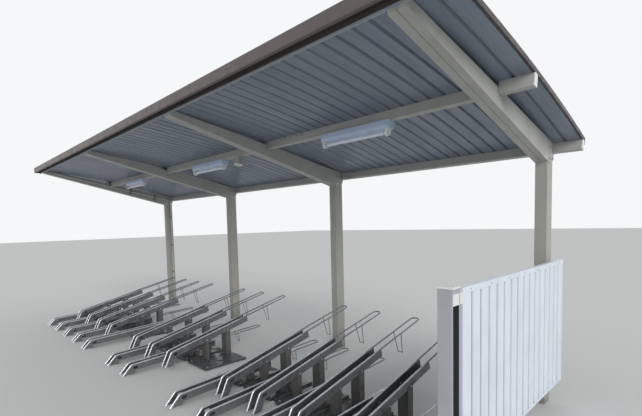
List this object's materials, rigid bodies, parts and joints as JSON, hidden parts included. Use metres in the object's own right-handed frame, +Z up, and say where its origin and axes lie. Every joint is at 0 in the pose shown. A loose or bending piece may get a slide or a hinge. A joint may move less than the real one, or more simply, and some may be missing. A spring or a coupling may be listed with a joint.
{
  "type": "bike shelter",
  "caption": "Open cantilever bike shelter: curved ribbed roof on tapered beams and posts, ribbed side screen, fixed high and low wheel trays with rear hoops.",
  "frame": {"origin": "centre of the right-hand end post's foot, at floor level", "axes": "+Z up, +X along the shelter towards its screened right-hand end, +Y to the back, so the roof rises towards -Y"},
  "size_m": [7.254, 2.3243, 2.53],
  "materials": {
    "post_paint": "satin cream-grey paint",
    "short_post_paint": "weathered grey paint",
    "deck_sheet": "satin blue-grey coated sheet",
    "bronze_trim": "satin bronze-grey paint",
    "pale_rail": "satin pale grey paint",
    "screen_white": "satin white coated sheet",
    "white_cap": "matt white",
    "light_white": "gloss white enamel",
    "light_tube": "gloss white tube",
    "conduit_grey": "matt pale grey",
    "black_strap": "matt black",
    "galvanised": "dull galvanised"
  },
  "bodies": {
    "root": {"post_1": "post_paint", "post_2": "post_paint", "post_3": "post_paint", "post_4": "post_paint", "beam_1": "post_paint", "beam_2": "post_paint", "beam_3": "post_paint", "beam_4": "post_paint", "mid_purlin": "post_paint", "rear_purlin": "post_paint", "purlin_cleats": "post_paint", "purlin_end_caps": "white_cap", "roof_deck_right": "deck_sheet", "roof_deck_middle": "deck_sheet", "roof_deck_left": "deck_sheet", "front_rail": "pale_rail", "fascia": "bronze_trim", "verge_trims": "bronze_trim", "eave_trim": "deck_sheet", "light_bodies": "light_white", "light_holders": "white_cap", "light_tubes": "light_tube", "sensor_bracket": "post_paint", "sensor_head": "white_cap", "conduit": "conduit_grey", "conduit_straps": "black_strap", "screen_sheet": "screen_white", "screen_frame": "screen_white", "screen_post": "short_post_paint", "screen_post_cap": "white_cap", "screen_bracket": "screen_white", "rack_right_trays": "galvanised", "rack_right_hoops": "galvanised", "rack_right_legs": "galvanised", "rack_right_base": "galvanised", "rack_middle_trays": "galvanised", "rack_middle_hoops": "galvanised", "rack_middle_legs": "galvanised", "rack_middle_base": "galvanised", "rack_left_trays": "galvanised", "rack_left_hoops": "galvanised", "rack_left_legs": "galvanised", "rack_left_base": "galvanised"}
  },
  "joints": []
}
